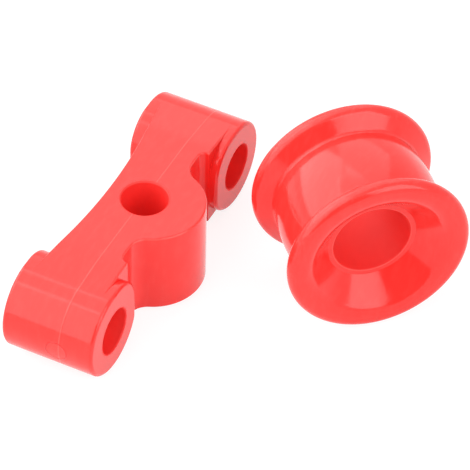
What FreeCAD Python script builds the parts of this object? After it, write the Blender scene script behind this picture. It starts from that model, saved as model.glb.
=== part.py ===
"""Two loose moulded polyurethane bushings of a gear-shift linkage mount.

mount_bushing: a block with a bolt eye at each end and an upright bore in its round boss.
spool_bushing: a flanged spool with a dished flange at each end and a plain bore.

Frame, in millimetres: the origin is on the axis of the block's upright bore, level with the
axes of its two eyes. +Z is up, +X runs from one eye to the other, and +Y runs along their bores.
"""
import FreeCAD, Part
import math
import os

V = FreeCAD.Vector
UP = V(0, 0, 1)
TOOL_MARGIN = 5.0
TINY = 0.001

# Bolt eyes of the mount bushing. Their bores run along Y.
EYE_SPACING = 66.0
EYE_RADIUS = 12.0
EYE_BORE_RADIUS = 6.0
EYE_FRONT_Y = -9.0
EYE_BACK_Y = 16.0
EYE_FLAT_CUT = 0.8
EYE_SHOULDER_RADIUS = 9.0
EYE_HEEL_RADIUS = 4.0
EYE_END_ROUNDING = 0.9

# Body between the eyes. Its sides stand upright.
BODY_LIFT = 1.0
BODY_FALL_REACH = 9.0
BODY_CREST_RADIUS = 24.0
BODY_FRONT_Y = -6.75
BODY_BACK_Y = 9.75
BODY_BACK_RADIUS = 155.0
BODY_EDGE_ROUNDING = 0.5

# Round boss with the upright bore, and the pockets beside it.
BOSS_RADIUS = 13.4
BOSS_CENTRE_Y = -2.25
BOSS_BORE_RADIUS = 6.0
BORE_MOUTH_ROUNDING = 0.3
POCKET_FLOOR_Y = -4.7
POCKET_BOSS_FILLET = 5.0
FILLET_ROOM_SHARE = 0.9

# Spool bushing, lying on its two flanges.
SPOOL_LENGTH = 32.0
FLANGE_RADIUS = 23.6
RIM_ROUNDING = 2.3
BARREL_RADIUS = 20.25
BARREL_CROWN_RADIUS = 43.0
FLANGE_WIDTH = 6.65
FLANGE_ROOT_FILLET = 1.2
SPOOL_BORE_RADIUS = 10.0
DISH_DEPTH = 6.7
LIP_WIDTH = 1.5
LIP_ROUNDING = 0.4
DISH_ANGLE = 45.0
DISH_ROUNDING = 4.5

# Where the spool stands beside the block.
SPOOL_X = 21.0
SPOOL_Y = -49.1
SPOOL_TURN = 45.0

EYE_X = EYE_SPACING / 2
EYE_INNER_FLAT = EYE_RADIUS - EYE_FLAT_CUT
INNER_FLAT_X = EYE_X - EYE_INNER_FLAT
REST_Z = -EYE_RADIUS
BODY_BOTTOM_Z = REST_Z + BODY_LIFT
BODY_TOP_Z = EYE_RADIUS + BODY_LIFT
BODY_HEIGHT = BODY_TOP_Z - BODY_BOTTOM_Z
BODY_LEVEL_HALF_LENGTH = EYE_X - BODY_FALL_REACH
FLANGE_ROOT_X = SPOOL_LENGTH / 2 - FLANGE_WIDTH
SPOOL_BORE_LENGTH = SPOOL_LENGTH - 2 * DISH_DEPTH


def line(start, end):
    return Part.makeLine(start, end)


def arc(centre, radius, start_angle, end_angle):
    """Arc about an axis along +Z, its angles measured from +X towards +Y."""
    return Part.makeCircle(radius, centre, UP, start_angle, end_angle)


def prism(edges, travel):
    """Solid swept from a closed ring of edges along one vector."""
    ring = Part.Wire(Part.__sortEdges__(edges))
    return Part.Face(ring).extrude(travel)


def mirrored(shape):
    """The same shape on the other side of the YZ plane."""
    return shape.mirror(V(0, 0, 0), V(1, 0, 0))


def eye_point(angle):
    """Point round the eye at +X in the XZ plane, its angle measured from +X towards +Z."""
    turn = math.radians(angle)
    return V(EYE_X + EYE_RADIUS * math.cos(turn), 0, EYE_RADIUS * math.sin(turn))


def eye_touch_angle():
    """Where the body's falling top meets the eye's round without a step."""
    run = EYE_X - BODY_LEVEL_HALF_LENGTH
    reach = math.hypot(run, BODY_TOP_Z)
    return math.degrees(math.atan2(BODY_TOP_Z, -run) - math.acos(EYE_RADIUS / reach))


def crest_edges(touch):
    """Top at +X: a bend down from level, then a straight fall to the eye's round."""
    fall = math.radians(90 - touch)
    run = BODY_CREST_RADIUS * math.tan(fall / 2)
    start = V(BODY_LEVEL_HALF_LENGTH - run, 0, BODY_TOP_Z)
    middle = start + V(math.sin(fall / 2), 0, math.cos(fall / 2) - 1) * BODY_CREST_RADIUS
    end = start + V(math.sin(fall), 0, math.cos(fall) - 1) * BODY_CREST_RADIUS
    return [Part.Arc(start, middle, end).toShape(), line(end, eye_point(touch))]


def eye_arc(start, end):
    """Round of the eye at +X between two angles."""
    return Part.Arc(eye_point(start), eye_point((start + end) / 2), eye_point(end)).toShape()


def boss_fillet(pocket_end_x):
    """Fillet between boss and pocket floor, smaller where the eye leaves less room."""
    depth = BOSS_CENTRE_Y - POCKET_FLOOR_Y
    largest = (pocket_end_x ** 2 - BOSS_RADIUS ** 2 + depth ** 2) / (2 * (BOSS_RADIUS - depth))
    return min(POCKET_BOSS_FILLET, FILLET_ROOM_SHARE * largest)


def body_outline():
    """Plan of the body: boss, pockets, eye roots and the hollow back, seen from above."""
    boss = V(0, BOSS_CENTRE_Y, 0)
    root_fillet = POCKET_FLOOR_Y - BODY_FRONT_Y
    fillet = boss_fillet(INNER_FLAT_X - root_fillet)
    reach = BOSS_RADIUS + fillet
    drop = BOSS_CENTRE_Y - POCKET_FLOOR_Y + fillet
    lean = math.degrees(math.asin(drop / reach))
    blend = V(math.sqrt(reach ** 2 - drop ** 2), POCKET_FLOOR_Y - fillet, 0)
    root = V(INNER_FLAT_X - root_fillet, BODY_FRONT_Y, 0)
    end_x = eye_point(eye_touch_angle()).x
    back = V(0, BODY_BACK_Y + BODY_BACK_RADIUS, 0)
    spread = math.degrees(math.asin(end_x / BODY_BACK_RADIUS))
    back_y = back.y - BODY_BACK_RADIUS * math.cos(math.radians(spread))
    half = [
        arc(blend, fillet, 90, 180 - lean),
        line(V(blend.x, POCKET_FLOOR_Y, 0), V(root.x, POCKET_FLOOR_Y, 0)),
        arc(root, root_fillet, 0, 90),
        line(V(INNER_FLAT_X, BODY_FRONT_Y, 0), V(end_x, BODY_FRONT_Y, 0)),
        line(V(end_x, BODY_FRONT_Y, 0), V(end_x, back_y, 0)),
    ]
    front = arc(boss, BOSS_RADIUS, 180 + lean, 360 - lean)
    rear = arc(back, BODY_BACK_RADIUS, 270 - spread, 270 + spread)
    return [front, rear] + half + [mirrored(edge) for edge in half]


def body_side_profile():
    """Side of the body: level between the eyes, then falling in line with each eye's round."""
    touch = eye_touch_angle()
    low = math.degrees(math.asin(BODY_BOTTOM_Z / EYE_RADIUS))
    side = crest_edges(touch) + [eye_arc(low, touch)]
    start = side[0].firstVertex().Point
    level = line(V(-start.x, 0, start.z), start)
    end = eye_point(low)
    foot = line(V(-end.x, 0, end.z), end)
    return [level, foot] + side + [mirrored(edge) for edge in side]


def make_body():
    plan = prism(body_outline(), V(0, 0, BODY_HEIGHT + 2 * TOOL_MARGIN))
    plan.translate(V(0, 0, BODY_BOTTOM_Z - TOOL_MARGIN))
    depth = EYE_BACK_Y - EYE_FRONT_Y + 2 * BOSS_RADIUS
    side = prism(body_side_profile(), V(0, 2 * depth, 0))
    side.translate(V(0, -depth, 0))
    return plan.common(side)


def make_eye():
    """Eye at +X: round outside and below, shouldered above, flat towards the boss."""
    heel_reach = EYE_RADIUS - EYE_HEEL_RADIUS
    heel_drop = math.sqrt(heel_reach ** 2 - (EYE_INNER_FLAT - EYE_HEEL_RADIUS) ** 2)
    heel = V(INNER_FLAT_X + EYE_HEEL_RADIUS, 0, -heel_drop)
    heel_angle = 180 + math.degrees(math.asin(heel_drop / heel_reach))
    heel_turn = math.radians((180 + heel_angle) / 2)
    heel_middle = heel + V(math.cos(heel_turn), 0, math.sin(heel_turn)) * EYE_HEEL_RADIUS
    heel_start = V(INNER_FLAT_X, 0, heel.z)
    shoulder = V(INNER_FLAT_X + EYE_SHOULDER_RADIUS, 0, EYE_RADIUS - EYE_SHOULDER_RADIUS)
    shoulder_middle = shoulder + V(-1, 0, 1) * (EYE_SHOULDER_RADIUS / math.sqrt(2))
    flank = V(INNER_FLAT_X, 0, shoulder.z)
    crest = V(shoulder.x, 0, EYE_RADIUS)
    eye = prism([
        eye_arc(heel_angle - 360, 90),
        line(eye_point(90), crest),
        Part.Arc(crest, shoulder_middle, flank).toShape(),
        line(flank, heel_start),
        Part.Arc(heel_start, heel_middle, eye_point(heel_angle)).toShape(),
    ], V(0, EYE_BACK_Y - EYE_FRONT_Y, 0))
    eye.translate(V(0, EYE_FRONT_Y, 0))
    return rounded(eye, EYE_END_ROUNDING, is_eye_end_edge)


def rounded(shape, radius, wanted):
    """Shape with one radius on every edge that the test wants."""
    return shape.makeFillet(radius, [edge for edge in shape.Edges if wanted(edge)])


def is_eye_end_edge(edge):
    """Edge that lies in an eye's front or back face."""
    box = edge.BoundBox
    in_front = abs(box.YMax - EYE_FRONT_Y) < TINY
    in_back = abs(box.YMin - EYE_BACK_Y) < TINY
    return in_front or in_back


def is_body_top_edge(edge):
    """Edge round the level or falling part of the body's top, not across it."""
    box = edge.BoundBox
    touch = eye_point(eye_touch_angle())
    across = box.XLength < TINY
    return box.ZMin > touch.z - TINY and not across


def is_body_bottom_edge(edge):
    box = edge.BoundBox
    at_bottom = abs(box.ZMax - BODY_BOTTOM_Z) < TINY
    return at_bottom and box.XLength > TINY


def is_bore_mouth(edge):
    """Round edge at either end of one of the three bores."""
    box = edge.BoundBox
    bore_widths = [2 * EYE_BORE_RADIUS, 2 * BOSS_BORE_RADIUS]
    round_edge = isinstance(edge.Curve, Part.Circle)
    return round_edge and any(abs(box.XLength - width) < TINY for width in bore_widths)


def make_mount_bushing():
    body = make_body()
    body = rounded(body, BODY_EDGE_ROUNDING, is_body_top_edge)
    body = rounded(body, BODY_EDGE_ROUNDING, is_body_bottom_edge)
    eye = make_eye()
    solid = body.fuse([eye, mirrored(eye)])
    for side in (-1, 1):
        start = V(side * EYE_X, EYE_FRONT_Y - TOOL_MARGIN, 0)
        length = EYE_BACK_Y - EYE_FRONT_Y + 2 * TOOL_MARGIN
        solid = solid.cut(Part.makeCylinder(EYE_BORE_RADIUS, length, start, V(0, 1, 0)))
    start = V(0, 0, BODY_BOTTOM_Z - TOOL_MARGIN)
    bore = Part.makeCylinder(BOSS_BORE_RADIUS, BODY_HEIGHT + 2 * TOOL_MARGIN, start)
    solid = solid.cut(bore)
    return rounded(solid, BORE_MOUTH_ROUNDING, is_bore_mouth)


def point(x, r):
    """Point of the spool's section: x along its axis from the middle, r from the axis."""
    return V(x, 0, r)


def turned(centre, radius, angle):
    """Point on a circle of the section, its angle measured from +x towards +r."""
    turn = math.radians(angle)
    return centre + point(radius * math.cos(turn), radius * math.sin(turn))


def bend(centre, radius, start, end):
    """Arc of the section between two angles."""
    middle = turned(centre, radius, (start + end) / 2)
    return Part.Arc(turned(centre, radius, start), middle, turned(centre, radius, end)).toShape()


def dish_edges():
    """Section of one end from the bore's mouth to the flange's crown."""
    lip_x = SPOOL_BORE_LENGTH / 2
    lip_end = point(lip_x, SPOOL_BORE_RADIUS + LIP_WIDTH)
    slope = math.radians(DISH_ANGLE)
    mouth = point(lip_x - LIP_ROUNDING, SPOOL_BORE_RADIUS + LIP_ROUNDING)
    crown_x = SPOOL_LENGTH / 2
    inner_x = crown_x - DISH_ROUNDING
    cone_end_x = inner_x + DISH_ROUNDING * math.sin(slope)
    cone_end = point(cone_end_x, lip_end.z + (cone_end_x - lip_x) / math.tan(slope))
    inner = point(inner_x, cone_end.z + DISH_ROUNDING * math.cos(slope))
    rim = point(crown_x - RIM_ROUNDING, FLANGE_RADIUS - RIM_ROUNDING)
    return [
        line(point(0, SPOOL_BORE_RADIUS), point(mouth.x, SPOOL_BORE_RADIUS)),
        bend(mouth, LIP_ROUNDING, -90, 0),
        line(point(lip_x, mouth.z), lip_end),
        line(lip_end, cone_end),
        bend(inner, DISH_ROUNDING, DISH_ANGLE - 90, 0),
        line(point(crown_x, inner.z), point(crown_x, rim.z)),
    ], rim


def flank_edges(rim):
    """Section from the rim's round down the flange's back to the middle of the barrel."""
    crown = point(0, BARREL_RADIUS - BARREL_CROWN_RADIUS)
    reach = BARREL_CROWN_RADIUS + FLANGE_ROOT_FILLET
    root_x = FLANGE_ROOT_X - FLANGE_ROOT_FILLET / 2
    lean = math.degrees(math.asin(root_x / reach))
    root = crown + point(root_x, reach * math.cos(math.radians(lean)))
    gap = math.hypot(rim.x - root.x, rim.z - root.z)
    line_up = math.degrees(math.atan2(rim.z - root.z, rim.x - root.x))
    cross = math.degrees(math.asin((RIM_ROUNDING + FLANGE_ROOT_FILLET) / gap))
    rise = line_up + cross
    return [
        bend(rim, RIM_ROUNDING, 0, rise + 90),
        line(turned(rim, RIM_ROUNDING, rise + 90), turned(root, FLANGE_ROOT_FILLET, rise - 90)),
        bend(root, FLANGE_ROOT_FILLET, -90 - lean, rise - 90),
        bend(crown, BARREL_CROWN_RADIUS, 90 - lean, 90),
    ]


def make_spool_bushing():
    dish, rim = dish_edges()
    half = dish + flank_edges(rim)
    ring = Part.Wire(Part.__sortEdges__(half + [mirrored(edge) for edge in half]))
    spool = Part.Face(ring).revolve(V(0, 0, 0), V(1, 0, 0), 360)
    spool.rotate(V(0, 0, 0), UP, SPOOL_TURN)
    spool.translate(V(SPOOL_X, SPOOL_Y, REST_Z + FLANGE_RADIUS))
    return spool


def save(node, shape):
    os.makedirs("parts", exist_ok=True)
    shape.exportStep("parts/" + node + ".step")
    print(node, len(shape.Solids), "solid", round(shape.Volume), "mm3", shape.isValid())


save("mount_bushing", make_mount_bushing())
save("spool_bushing", make_spool_bushing())
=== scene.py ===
"""Looks of two loose polyurethane linkage bushings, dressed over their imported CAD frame.

All sizes are in metres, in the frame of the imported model: the origin is on the upright bore of
the mount bushing, level with its eye bores, +Z is up and +X runs from one eye to the other.
"""

import logging
import math
from dataclasses import dataclass, field
from enum import Enum
from typing import Any

import bmesh
import bpy
from mathutils import Matrix, Vector


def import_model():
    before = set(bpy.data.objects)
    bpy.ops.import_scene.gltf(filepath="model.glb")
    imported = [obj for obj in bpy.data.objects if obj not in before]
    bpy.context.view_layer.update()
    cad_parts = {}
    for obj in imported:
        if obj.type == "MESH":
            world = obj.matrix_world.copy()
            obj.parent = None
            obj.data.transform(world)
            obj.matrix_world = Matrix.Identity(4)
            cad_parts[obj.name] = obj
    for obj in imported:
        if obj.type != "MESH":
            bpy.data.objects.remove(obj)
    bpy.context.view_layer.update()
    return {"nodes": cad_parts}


LOG = logging.getLogger("bushing_set")
MM = 0.001
WHITE = (1.0, 1.0, 1.0, 1.0)
Colour = tuple[float, float, float]
Point = tuple[float, float, float]


class Value:
    """One number socket of a node tree, with Python arithmetic that adds Math nodes."""

    def __init__(self, shader: "Shader", socket: bpy.types.NodeSocket) -> None:
        """Keep the socket and the shader that it belongs to.

        Args:
            shader: The shader whose tree holds the socket.
            socket: The output socket to wrap.
        """
        self.shader = shader
        self.socket = socket

    def math(self, operation: str, *others: "Value | float", clamp: bool = False) -> "Value":
        """Pass this value through one Math node.

        Args:
            operation: The Math node's operation.
            others: The node's second and third values, where it has them.
            clamp: Whether the result is held between 0 and 1.

        Returns:
            The node's result.
        """
        values = {i: v for i, v in enumerate((self, *others))}
        settings = {"operation": operation, "use_clamp": clamp}
        return self.shader.node("ShaderNodeMath", settings, values).value("Value")

    def reflected(self, operation: str, other: float) -> "Value":
        """Pass a plain number and then this value through one Math node.

        Args:
            operation: The Math node's operation.
            other: The number on the left.

        Returns:
            The node's result.
        """
        settings = {"operation": operation}
        return self.shader.node("ShaderNodeMath", settings, {0: other, 1: self}).value("Value")

    def __add__(self, other: "Value | float") -> "Value":
        """Sum of the two."""
        return self.math("ADD", other)

    def __radd__(self, other: float) -> "Value":
        """Sum of the two."""
        return self.reflected("ADD", other)

    def __sub__(self, other: "Value | float") -> "Value":
        """This value less the other."""
        return self.math("SUBTRACT", other)

    def __rsub__(self, other: float) -> "Value":
        """The number less this value."""
        return self.reflected("SUBTRACT", other)

    def __mul__(self, other: "Value | float") -> "Value":
        """Product of the two."""
        return self.math("MULTIPLY", other)

    def __rmul__(self, other: float) -> "Value":
        """Product of the two."""
        return self.reflected("MULTIPLY", other)

    def __truediv__(self, other: "Value | float") -> "Value":
        """This value over the other."""
        return self.math("DIVIDE", other)

    def __abs__(self) -> "Value":
        """Size of this value without its sign."""
        return self.math("ABSOLUTE")

    def root(self) -> "Value":
        """Square root of this value."""
        return self.math("SQRT")

    def above(self, edge: float, soft: float) -> "Value":
        """Mask that rises from 0 to 1 round an edge.

        Args:
            edge: Where the mask is one half.
            soft: How far the change reaches on each side.

        Returns:
            The mask.
        """
        settings = {"interpolation_type": "SMOOTHSTEP"}
        inputs = {"Value": self, "From Min": edge - soft, "From Max": edge + soft}
        return self.shader.node("ShaderNodeMapRange", settings, inputs).value("Result")

    def below(self, edge: float, soft: float) -> "Value":
        """Mask that falls from 1 to 0 round an edge.

        Args:
            edge: Where the mask is one half.
            soft: How far the change reaches on each side.

        Returns:
            The mask.
        """
        return 1 - self.above(edge, soft)

    def near(self, centre: float, width: float) -> "Value":
        """Rounded ridge, 1 along a line and 0 at half its width on each side.

        Args:
            centre: The value in the middle of the ridge.
            width: The ridge's full width.

        Returns:
            The ridge's height as a share of 1.
        """
        across = abs(self - centre) / (width / 2)
        return (1 - across * across).math("MAXIMUM", 0.0)


class Made:
    """One node that was made, and its outputs."""

    def __init__(self, shader: "Shader", node: bpy.types.Node) -> None:
        """Keep the node and the shader that it belongs to.

        Args:
            shader: The shader whose tree holds the node.
            node: The node to read outputs from.
        """
        self.shader = shader
        self.made = node

    def out(self, name: str | int = 0) -> bpy.types.NodeSocket:
        """The output of that name or place."""
        return self.made.outputs[name]

    def value(self, name: str | int = 0) -> Value:
        """The number output of that name or place, ready for arithmetic."""
        return Value(self.shader, self.made.outputs[name])


class Shader:
    """A node tree that is written as expressions."""

    def __init__(self, owner: bpy.types.Material | bpy.types.World) -> None:
        """Start with an empty tree.

        Args:
            owner: The material or world to give nodes to.
        """
        owner.use_nodes = True
        self.tree = owner.node_tree
        self.tree.nodes.clear()

    def node(
        self, kind: str, settings: dict[str, Any], inputs: dict[str | int, Any]
    ) -> Made:
        """Add one node.

        Args:
            kind: The node's type.
            settings: Properties of the node, set before its inputs.
            inputs: Values or links of its sockets, by name or place.

        Returns:
            The node.
        """
        node = self.tree.nodes.new(kind)
        for name, setting in settings.items():
            setattr(node, name, setting)
        for name, given in inputs.items():
            source = given.socket if isinstance(given, Value) else given
            if isinstance(source, bpy.types.NodeSocket):
                self.tree.links.new(source, node.inputs[name])
            else:
                node.inputs[name].default_value = source
        return Made(self, node)

    def vector(self, operation: str, *values: Any) -> Made:
        """Add one Vector Math node.

        Args:
            operation: The node's operation.
            values: Its vectors, as sockets or plain tuples.

        Returns:
            The node.
        """
        return self.node("ShaderNodeVectorMath", {"operation": operation}, dict(enumerate(values)))

    def place(self) -> bpy.types.NodeSocket:
        """Each point's place in the part's own frame, in metres."""
        return self.node("ShaderNodeTexCoord", {}, {}).out("Object")

    def axes(self, vector: bpy.types.NodeSocket) -> tuple[Value, Value, Value]:
        """The three coordinates of a vector.

        Args:
            vector: The vector to split.

        Returns:
            Its X, Y and Z.
        """
        split = self.node("ShaderNodeSeparateXYZ", {}, {"Vector": vector})
        return split.value("X"), split.value("Y"), split.value("Z")

    def noise(self, place: bpy.types.NodeSocket, grain: float, detail: float) -> Value:
        """Cloudy noise between about 0 and 1.

        Args:
            place: Where the noise is read.
            grain: Size of its spots, in the units of the place.
            detail: How many finer layers it has.

        Returns:
            The noise.
        """
        inputs = {"Vector": place, "Scale": 1 / grain, "Detail": detail, "Roughness": 0.55}
        return self.node("ShaderNodeTexNoise", {}, inputs).value("Fac")

    def blend(self, mask: Value, low: Any, high: Any) -> bpy.types.NodeSocket:
        """Mix of two colours, each plain or a socket.

        Args:
            mask: Share of the second colour.
            low: The colour where the mask is 0.
            high: The colour where the mask is 1.

        Returns:
            The mixed colour.
        """
        first = low if isinstance(low, bpy.types.NodeSocket) else (*low, 1.0)
        second = high if isinstance(high, bpy.types.NodeSocket) else (*high, 1.0)
        settings = {"data_type": "RGBA", "clamp_factor": True}
        return self.node("ShaderNodeMix", settings, {0: mask, 6: first, 7: second}).out(2)


@dataclass(frozen=True)
class PolyurethaneFinish:
    """Glossy moulded polyurethane: one deep colour under a smooth skin with a faint ripple."""

    name: str
    colour: Colour = (1.0, 0.042, 0.035)
    deep_colour: Colour = (0.97, 0.035, 0.029)
    # Painted shade colour for the bore walls and the gate mark's ring.
    shade_colour: Colour = (0.80, 0.022, 0.018)
    # Pale colour for real bloom smears and rubbed places, and for painted highlights.
    bloom_and_highlight_colour: Colour = (1.0, 0.16, 0.14)
    bloom_share: float = 0.07
    wear_and_highlight_share: float = 0.8
    roughness: float = 0.12
    roughness_spread: float = 0.06
    least_roughness: float = 0.05
    wear_and_highlight_dullness: float = 0.15
    bore_dullness: float = 0.5
    cloud_size: float = 9.0 * MM
    smear_size: float = 4.0 * MM
    smear_stretch: tuple[float, float, float] = (1.0, 2.6, 0.7)
    smear_edge: float = 0.58
    smear_soft: float = 0.16
    ior: float = 1.42
    ripple_height: float = 0.006
    ripple_size: float = 5.0 * MM
    grain_height: float = 0.0011
    grain_size: float = 0.45 * MM

    def start(self) -> tuple[bpy.types.Material, Shader]:
        """An empty material of this finish and its shader."""
        material = bpy.data.materials.new(self.name)
        return material, Shader(material)

    def skin(self, shader: Shader, place: bpy.types.NodeSocket) -> Value:
        """Height of the plain skin.

        Args:
            shader: The shader to build in.
            place: Where each point is.

        Returns:
            Height in millimetres.
        """
        ripple = shader.noise(place, self.ripple_size, 1.0) * self.ripple_height
        return ripple + shader.noise(place, self.grain_size, 2.0) * self.grain_height

    def finish(
        self,
        shader: Shader,
        place: bpy.types.NodeSocket,
        height: Value,
        wear_and_highlight: Value,
        painted_shade: Value,
        bored: Value,
    ) -> None:
        """Join colour, gloss and relief into the material's surface.

        Args:
            shader: The shader to build in.
            place: Where each point is.
            height: Relief in millimetres.
            wear_and_highlight: Mask of rubbed places and of painted highlights, which are paler
                and duller.
            painted_shade: Mask of painted shade in sharp recesses and bores, which are painted
                deeper in colour.
            bored: Mask of the bore walls, which left a duller core pin.
        """
        clouds = shader.noise(place, self.cloud_size, 3.0)
        stretched = shader.vector("MULTIPLY", place, self.smear_stretch).out()
        smears = shader.noise(stretched, self.smear_size, 5.0)
        bloom_and_highlight = smears.above(self.smear_edge, self.smear_soft) * self.bloom_share
        bloom_and_highlight = bloom_and_highlight + wear_and_highlight * self.wear_and_highlight_share
        # Pale paint from worn: real rubbing, plus painted highlights on edges, the parting ridge
        # and bore mouths.
        base = shader.blend(clouds, self.deep_colour, self.colour)
        pale = shader.blend(bloom_and_highlight, base, self.bloom_and_highlight_colour)
        # Painted shade: groove darkens the bore walls and the gate mark's ring.
        colour = shader.blend(painted_shade, pale, self.shade_colour)
        dull = (clouds - 0.5) * self.roughness_spread + smears * self.roughness_spread * 0.5
        dull = dull + bored * self.bore_dullness
        dull = dull + self.roughness + wear_and_highlight * self.wear_and_highlight_dullness
        roughness = dull.math("MAXIMUM", self.least_roughness)
        relief = {"Strength": 1.0, "Distance": MM, "Height": height}
        normal = shader.node("ShaderNodeBump", {}, relief).out("Normal")
        surface = {
            "Base Color": colour,
            "Roughness": roughness,
            "Normal": normal,
            "IOR": self.ior,
            "Specular IOR Level": 0.5,
        }
        skin = shader.node("ShaderNodeBsdfPrincipled", {}, surface).out("BSDF")
        shader.node("ShaderNodeOutputMaterial", {}, {"Surface": skin})


@dataclass
class MountBushing:
    """Block with a bolt eye at each end and an upright bore in its boss."""

    node: str = "mount_bushing"
    eye_x: float = 33.0 * MM
    eye_radius: float = 12.0 * MM
    bore_radius: float = 6.0 * MM
    bore_clear: float = 0.45 * MM
    mouth_soft: float = 0.15 * MM
    parting_y: float = 0.1 * MM
    parting_width: float = 0.46 * MM
    parting_height: float = 0.04
    top_z: float = 13.0 * MM
    level_half: float = 24.0 * MM
    fall_slope: float = 0.1037
    edge_depth: float = 0.28 * MM
    edge_width: float = 0.46 * MM
    edge_reach: float = 21.3 * MM
    edge_soft: float = 0.4 * MM
    front_y: float = -6.55 * MM
    front_width: float = 1.0 * MM
    fall_reach: float = 30.5 * MM
    fall_soft: float = 1.5 * MM
    mark_y: float = 0.9 * MM
    mark_z: float = -0.9 * MM
    mark_radius: float = 2.8 * MM
    mark_width: float = 0.55 * MM
    mark_soft: float = 0.25 * MM
    mark_height: float = 0.14
    mark_shade: float = 0.85
    mark_sink: float = 0.06
    mark_wear: float = 0.25
    scuff_size: float = 0.8 * MM
    scuff_height: float = 0.05
    # Share of pale paint for the painted highlight along the parting ridge.
    line_highlight: float = 0.45
    # Share of pale paint for the painted highlight on the top's rounded edge.
    edge_highlight: float = 0.5
    finish: PolyurethaneFinish = field(
        default_factory=lambda: PolyurethaneFinish("polyurethane_block")
    )

    def bores(self, x: Value, y: Value, z: Value) -> Value:
        """Mask of the three bores and their mouths.

        Args:
            x: Place across the block.
            y: Place along the eye bores.
            z: Height.

        Returns:
            The mask.
        """
        from_boss = (x * x + y * y).root()
        across = abs(x) - self.eye_x
        from_eye = (across * across + z * z).root()
        nearest = from_boss.math("MINIMUM", from_eye)
        return nearest.below(self.bore_radius + self.bore_clear, self.mouth_soft)

    def parting_line(self, y: Value, bored: Value) -> Value:
        """Ridge where the mould's halves met, on the outside only.

        Args:
            y: Place along the eye bores.
            bored: Mask of the bores, which it doesn't cross.

        Returns:
            The ridge as a share of 1.
        """
        return y.near(self.parting_y, self.parting_width) * (1 - bored)

    def top_edge_highlight(self, x: Value, y: Value, z: Value) -> Value:
        """Painted highlight along the rounded edge of the top.

        Args:
            x: Place across the block.
            y: Place along the eye bores.
            z: Height.

        Returns:
            The mask.
        """
        drop = (abs(x) - self.level_half).math("MAXIMUM", 0.0) * self.fall_slope
        depth = (self.top_z - drop) - z
        level = abs(x).below(self.edge_reach, self.edge_soft)
        falling = abs(x).below(self.fall_reach, self.fall_soft) * (1 - level)
        where = level + falling * y.near(self.front_y, self.front_width)
        return depth.near(self.edge_depth, self.edge_width) * where

    def gate_mark(self, x: Value, y: Value, z: Value) -> tuple[Value, Value]:
        """Round mark where the mould was filled, low on the outside of the eye at -X.

        Args:
            x: Place across the block.
            y: Place along the eye bores.
            z: Height.

        Returns:
            The mark's raised rim and its middle, each as a share of 1.
        """
        beside = y - self.mark_y
        above = z - self.mark_z
        distance = (beside * beside + above * above).root()
        there = x.below(-self.eye_x - 0.8 * self.eye_radius, 0.5 * MM)
        rim = distance.near(self.mark_radius, self.mark_width) * there
        return rim, distance.below(self.mark_radius, self.mark_soft) * there

    def dress(self, nodes: dict[str, bpy.types.Object]) -> bpy.types.Object:
        """Give the block its moulded finish.

        Args:
            nodes: The CAD nodes by name.

        Returns:
            The dressed node.
        """
        material, shader = self.finish.start()
        place = shader.place()
        x, y, z = shader.axes(place)
        bored = self.bores(x, y, z)
        line = self.parting_line(y, bored)
        rim, middle = self.gate_mark(x, y, z)
        scuffs = shader.noise(place, self.scuff_size, 3.0)
        height = self.finish.skin(shader, place) + line * self.parting_height
        height = height + rim * self.mark_height
        height = height + middle * (scuffs * self.scuff_height - self.mark_sink)
        # Pale paint: a painted highlight along the parting ridge and on the top's rounded edge,
        # and real scuffs in the gate mark's middle.
        wear_and_highlight = line * self.line_highlight + middle * scuffs * self.mark_wear
        wear_and_highlight = wear_and_highlight + self.top_edge_highlight(x, y, z) * self.edge_highlight
        # The gate mark's raised ring gets painted shade.
        self.finish.finish(shader, place, height, wear_and_highlight, rim * self.mark_shade, bored)
        return paint(nodes[self.node], material)


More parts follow.
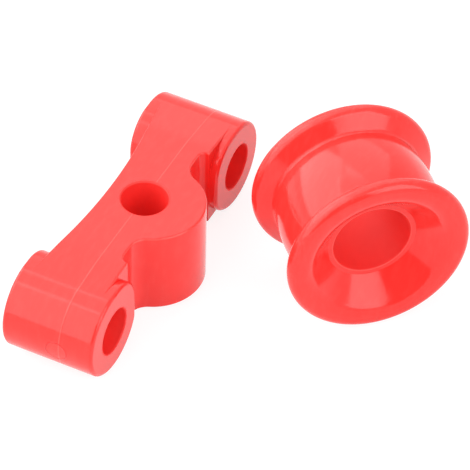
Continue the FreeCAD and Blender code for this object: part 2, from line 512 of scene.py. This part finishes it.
@dataclass
class SpoolBushing:
    """Flanged spool with a plain bore and a dished flange at each end."""

    node: str = "spool_bushing"
    centre: Point = (21.0 * MM, -49.1 * MM, 11.6 * MM)
    turn: float = math.radians(45.0)
    ring_size: float = 0.5 * MM
    ring_height: float = 0.0016
    rim_radius: float = 22.6 * MM
    rim_soft: float = 0.5 * MM
    bore_radius: float = 10.0 * MM
    bore_clear: float = 0.25 * MM
    mouth_soft: float = 0.15 * MM
    # Strength of the painted shade in the bore.
    bore_shade: float = 0.55
    mouth_width: float = 0.5 * MM
    # Share of pale paint for the painted highlight round the bore mouths.
    mouth_highlight: float = 0.4
    scuff_size: float = 1.4 * MM
    scuff_edge: float = 0.6
    scuff_soft: float = 0.08
    scuff_wear: float = 0.12
    finish: PolyurethaneFinish = field(
        default_factory=lambda: PolyurethaneFinish("polyurethane_spool")
    )

    def section(self, shader: Shader, place: bpy.types.NodeSocket) -> tuple[Value, Value]:
        """Where each point lies on the spool's section.

        Args:
            shader: The shader to build in.
            place: Where each point is.

        Returns:
            The place along the axis from the middle, and the distance from the axis.
        """
        axis = (math.cos(self.turn), math.sin(self.turn), 0.0)
        off = shader.vector("SUBTRACT", place, self.centre).out()
        along = shader.vector("DOT_PRODUCT", off, axis).value("Value")
        total = shader.vector("LENGTH", off).value("Value")
        return along, (total * total - along * along).math("MAXIMUM", 0.0).root()

    def dress(self, nodes: dict[str, bpy.types.Object]) -> bpy.types.Object:
        """Give the spool its moulded finish with the faint rings of a turned mould.

        Args:
            nodes: The CAD nodes by name.

        Returns:
            The dressed node.
        """
        material, shader = self.finish.start()
        place = shader.place()
        along, radius = self.section(shader, place)
        ring_place = shader.node("ShaderNodeCombineXYZ", {}, {"X": along, "Y": radius}).out()
        rings = shader.noise(ring_place, self.ring_size, 1.0) * self.ring_height
        rim = radius.above(self.rim_radius, self.rim_soft)
        cloudy = shader.noise(place, self.scuff_size, 3.0)
        scuffs = cloudy.above(self.scuff_edge, self.scuff_soft)
        height = self.finish.skin(shader, place) + rings
        edge = self.bore_radius + self.bore_clear
        bored = radius.below(edge, self.mouth_soft)
        mouth = radius.near(edge, self.mouth_width)
        # Pale paint: real scuffs on the rims and a painted highlight round the bore mouths.
        wear_and_highlight = rim * scuffs * self.scuff_wear + mouth * self.mouth_highlight
        # Painted shade down the bore walls, stopping short of the mouth.
        shade = bored * self.bore_shade * (1 - mouth)
        self.finish.finish(shader, place, height, wear_and_highlight, shade, bored)
        return paint(nodes[self.node], material)


def paint(piece: bpy.types.Object, material: bpy.types.Material) -> bpy.types.Object:
    """Put one material in every slot of a piece.

    Args:
        piece: The piece to paint.
        material: The material it gets.

    Returns:
        The same piece.
    """
    if not piece.material_slots:
        piece.data.materials.append(material)
    for slot in piece.material_slots:
        slot.material = material
    return piece


class StudioPlace(Enum):
    """Where a lamp or card stands: its azimuth and elevation round the parts, in degrees."""

    BEHIND = (20.0, 46.0)
    BACK_LEFT = (92.0, 32.0)
    OVERHEAD = (85.0, 73.0)
    LEFT = (148.0, 35.0)
    FRONT = (-103.0, 34.0)
    CAMERA_SIDE = (-160.0, 23.0)

    def stand(self, thing: bpy.types.Object, target: Vector, distance: float) -> None:
        """Put a lamp or card here, facing the parts, and add it to the scene.

        Args:
            thing: The lamp or card.
            target: The point that it faces.
            distance: How far from that point it stands.
        """
        azimuth, elevation = (math.radians(angle) for angle in self.value)
        away = Vector((math.cos(azimuth), math.sin(azimuth), 0.0)) * math.cos(elevation)
        away.z = math.sin(elevation)
        thing.location = target + away * distance
        thing.rotation_mode = "QUATERNION"
        thing.rotation_quaternion = away.to_track_quat("Z", "Y")
        thing.visible_camera = False
        bpy.context.scene.collection.objects.link(thing)


@dataclass(frozen=True)
class SoftLamp:
    """An oblong soft box that faces the parts."""

    place: StudioPlace
    radiance: float
    width: float
    height: float
    distance: float = 1.1

    def build(self, target: Vector) -> bpy.types.Object:
        """Make the lamp.

        Args:
            target: The point that it faces.

        Returns:
            The lamp.
        """
        data = bpy.data.lights.new("lamp_" + self.place.name.lower(), "AREA")
        data.shape = "RECTANGLE"
        data.size = self.width
        data.size_y = self.height
        data.energy = self.radiance * math.pi * self.width * self.height
        lamp = bpy.data.objects.new(data.name, data)
        self.place.stand(lamp, target, self.distance)
        return lamp


@dataclass(frozen=True)
class DarkCard:
    """A dark card that only reflections show: a painted dark reflection standing in for the unlit
    room on the camera's side.
    """

    place: StudioPlace
    width: float
    height: float
    distance: float = 1.6
    shade: float = 0.02

    def build(self, target: Vector) -> bpy.types.Object:
        """Make the card.

        Args:
            target: The point that it faces.

        Returns:
            The card.
        """
        sheet = bmesh.new()
        bmesh.ops.create_grid(sheet, x_segments=4, y_segments=4, size=0.5)
        bmesh.ops.scale(sheet, vec=(self.width, self.height, 1.0), verts=sheet.verts)
        mesh = bpy.data.meshes.new("dark_card")
        sheet.to_mesh(mesh)
        sheet.free()
        card = bpy.data.objects.new("dark_card", mesh)
        card.visible_diffuse = False
        card.visible_shadow = False
        self.place.stand(card, target, self.distance)
        material = bpy.data.materials.new("dark_card")
        shader = Shader(material)
        shade = {"Color": (self.shade, self.shade, self.shade, 1.0)}
        cloth = shader.node("ShaderNodeBsdfDiffuse", {}, shade).out()
        shader.node("ShaderNodeOutputMaterial", {}, {"Surface": cloth})
        mesh.materials.append(material)
        return card


@dataclass
class Studio:
    """White table top, soft lamps and a white surround."""

    floor_z: float = -12.0 * MM
    floor_half: float = 6.0
    floor_cells: int = 12
    ambient: float = 0.26
    white_glow: float = 0.86
    shadow_share: float = 0.30
    table_colour: tuple[float, float, float, float] = (0.82, 0.82, 0.82, 1.0)
    target: Vector = field(default_factory=lambda: Vector((0.01, -0.025, 0.0)))
    lamps: tuple[SoftLamp, ...] = (
        SoftLamp(StudioPlace.BEHIND, 1.0, 0.85, 0.85),
        SoftLamp(StudioPlace.OVERHEAD, 1.3, 0.8, 0.8),
        SoftLamp(StudioPlace.BACK_LEFT, 2.3, 1.25, 0.95),
        SoftLamp(StudioPlace.LEFT, 1.7, 1.15, 1.45),
        SoftLamp(StudioPlace.FRONT, 2.6, 0.9, 0.85),
    )
    card: DarkCard = DarkCard(StudioPlace.CAMERA_SIDE, 2.2, 1.5)

    def seen(self, shader: Shader) -> Value:
        """1 for rays that show the surround itself: from the camera, a gloss or a glass.

        Args:
            shader: The shader to build in.

        Returns:
            The mask.
        """
        path = shader.node("ShaderNodeLightPath", {}, {})
        straight = path.value("Is Camera Ray") + path.value("Is Glossy Ray")
        return straight.math("ADD", path.value("Is Transmission Ray"), clamp=True)

    def build_world(self) -> None:
        """Make the white surround, which lights the parts only softly."""
        world = bpy.data.worlds.new("surround")
        bpy.context.scene.world = world
        shader = Shader(world)
        soft = {"Color": WHITE, "Strength": self.ambient}
        dim = shader.node("ShaderNodeBackground", {}, soft).out()
        bright = shader.node("ShaderNodeBackground", {}, {"Color": WHITE, "Strength": 1.0}).out()
        both = {0: self.seen(shader), 1: dim, 2: bright}
        mixed = shader.node("ShaderNodeMixShader", {}, both).out()
        shader.node("ShaderNodeOutputWorld", {}, {"Surface": mixed})

    def build_floor(self) -> bpy.types.Object:
        """Make the table top, which shows white and keeps the parts' shadow.

        Returns:
            The table top.
        """
        grid = bmesh.new()
        cells = self.floor_cells
        bmesh.ops.create_grid(grid, x_segments=cells, y_segments=cells, size=self.floor_half)
        mesh = bpy.data.meshes.new("table_top")
        grid.to_mesh(mesh)
        grid.free()
        floor = bpy.data.objects.new("table_top", mesh)
        floor.location.z = self.floor_z
        bpy.context.scene.collection.objects.link(floor)
        material = bpy.data.materials.new("white_table")
        shader = Shader(material)
        lit = shader.node("ShaderNodeBsdfDiffuse", {}, {"Color": self.table_colour}).out()
        strength = self.white_glow / (1 - self.shadow_share)
        glow = shader.node("ShaderNodeEmission", {}, {"Color": WHITE, "Strength": strength}).out()
        shown = shader.node("ShaderNodeMixShader", {}, {0: self.shadow_share, 1: glow, 2: lit})
        both = {0: self.seen(shader), 1: lit, 2: shown.out()}
        mixed = shader.node("ShaderNodeMixShader", {}, both).out()
        shader.node("ShaderNodeOutputMaterial", {}, {"Surface": mixed})
        mesh.materials.append(material)
        return floor

    def build(self) -> None:
        """Make the surround, the table top and the lamps."""
        self.build_world()
        self.build_floor()
        for lamp in self.lamps:
            lamp.build(self.target)
        self.card.build(self.target)


@dataclass
class ViewCamera:
    """Long lens that looks down on both parts from the front left."""

    azimuth: float = math.radians(-64.02)
    elevation: float = math.radians(44.554)
    roll: float = math.radians(1.315)
    offset: tuple[float, float] = (-22.578 * MM, -0.182 * MM)
    distance: float = 1107.24 * MM
    lens: float = 339.25
    sensor: float = 36.0
    nearest: float = 0.05
    farthest: float = 50.0

    def build(self) -> bpy.types.Object:
        """Make the camera and choose it for the scene.

        Returns:
            The camera.
        """
        level = Vector((math.cos(self.azimuth), math.sin(self.azimuth), 0.0))
        aside = Vector((math.sin(self.azimuth), -math.cos(self.azimuth), 0.0))
        back = aside * math.cos(self.elevation)
        back.z = math.sin(self.elevation)
        rise = back.cross(level)
        right = level * math.cos(self.roll) + rise * math.sin(self.roll)
        up = rise * math.cos(self.roll) - level * math.sin(self.roll)
        data = bpy.data.cameras.new("view_camera")
        data.lens = self.lens
        data.sensor_width = self.sensor
        data.clip_start = self.nearest
        data.clip_end = self.farthest
        camera = bpy.data.objects.new("view_camera", data)
        turn = Matrix((right, up, back)).transposed().to_4x4()
        place = back * self.distance - right * self.offset[0] - up * self.offset[1]
        camera.matrix_world = Matrix.Translation(place) @ turn
        bpy.context.scene.collection.objects.link(camera)
        bpy.context.scene.camera = camera
        return camera


def main() -> None:
    """Dress both parts, then build the studio and the camera round them."""
    logging.basicConfig(level=logging.INFO, format="%(name)s: %(message)s")
    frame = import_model()
    for part in (MountBushing(), SpoolBushing()):
        piece = part.dress(frame["nodes"])
        LOG.info("%s dressed as %s", piece.name, part.finish.name)
    Studio().build()
    ViewCamera().build()
    bpy.context.scene.view_settings.view_transform = "Standard"


if __name__ == "__main__":
    main()
